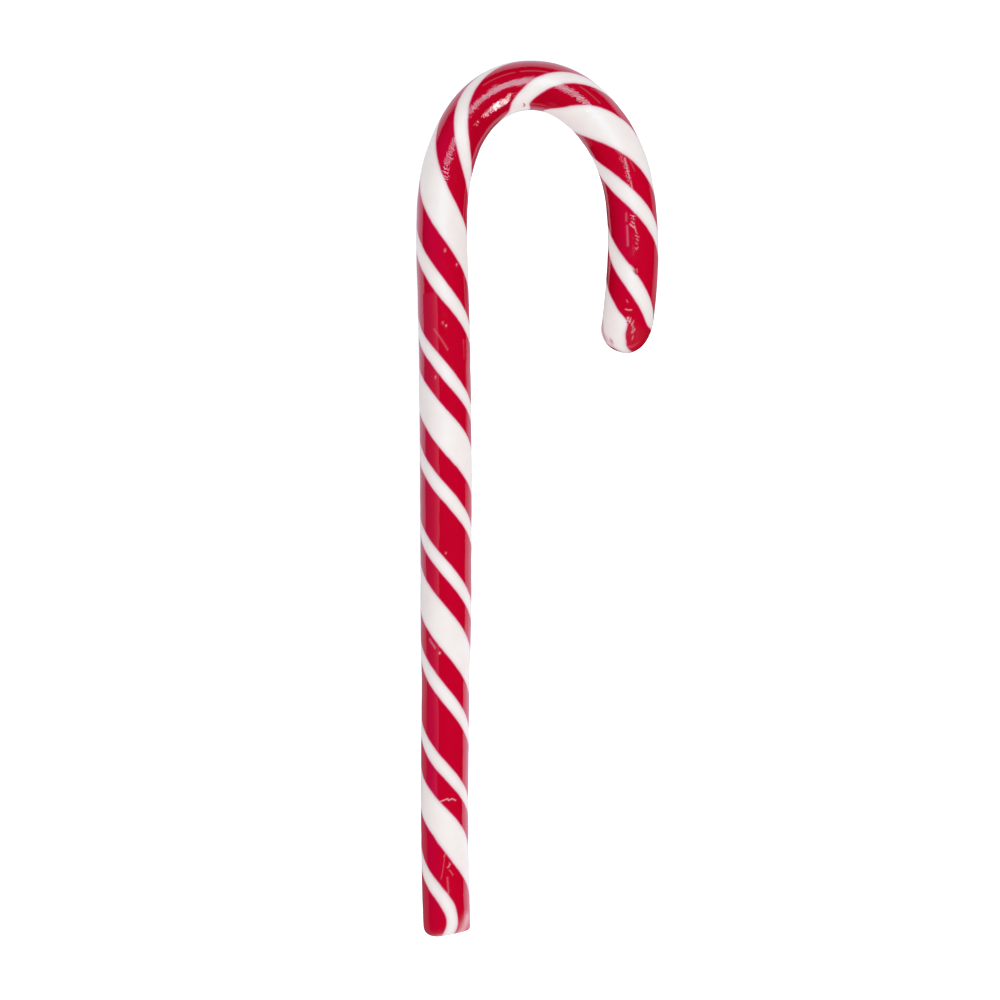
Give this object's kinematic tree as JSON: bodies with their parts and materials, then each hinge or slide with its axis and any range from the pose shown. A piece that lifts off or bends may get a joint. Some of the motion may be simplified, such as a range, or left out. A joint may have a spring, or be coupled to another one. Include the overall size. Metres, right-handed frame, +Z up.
{
  "type": "candy cane",
  "caption": "Striped candy cane: a round rod of glossy boiled sugar bent over at one end into a hook, lying flat on its side.",
  "frame": {"origin": "middle of the cane's outline in plan, on the surface it lies on", "axes": "+Y along the shaft from its cut foot toward the bend of the hook, +X from the shaft toward the arm of the hook, +Z up out of the side that is looked at"},
  "size_m": [0.0414, 0.1502, 0.0088],
  "materials": {
    "boiled_sugar": "hard glossy boiled sugar, red with one broad and two narrow white stripes wound round it"
  },
  "bodies": {
    "root": {"cane": "boiled_sugar"}
  },
  "joints": []
}
